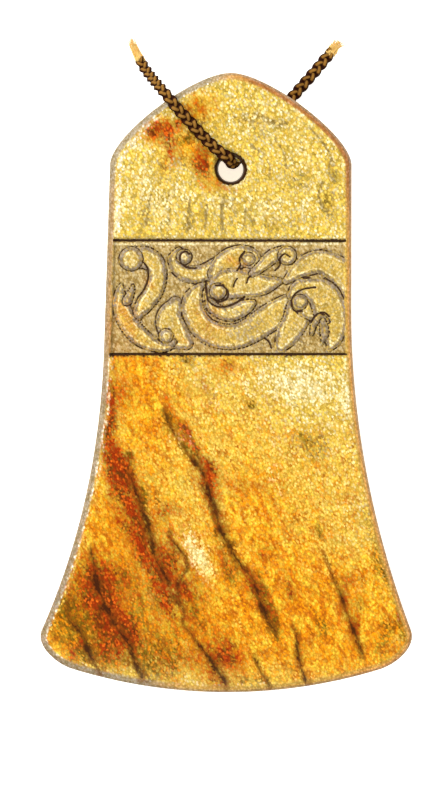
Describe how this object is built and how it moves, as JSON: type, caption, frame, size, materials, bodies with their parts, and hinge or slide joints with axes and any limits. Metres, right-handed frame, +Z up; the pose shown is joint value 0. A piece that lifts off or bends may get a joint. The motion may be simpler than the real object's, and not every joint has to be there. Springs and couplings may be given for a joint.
{
  "type": "jadeite axe head",
  "caption": "Flat ceremonial axe head of golden jadeite with a flared blade, a carved scroll band and a short braided cord through its hole, lying on its back.",
  "frame": {"origin": "on the surface it lies on, under the middle of the stone's box", "axes": "+X across the axe head, +Y along it from the blade to the butt, +Z up from the surface, the carved face upwards"},
  "size_m": [0.09, 0.1586, 0.0143],
  "materials": {
    "jadeite": "waxy polish, golden yellow clouded with russet and crossed by dark brown veins",
    "silk_cord": "dark brown braided silk with khaki strands, ends frayed to pale yellow"
  },
  "bodies": {
    "root": {"axe_head": "jadeite", "cord": "silk_cord"}
  },
  "joints": []
}
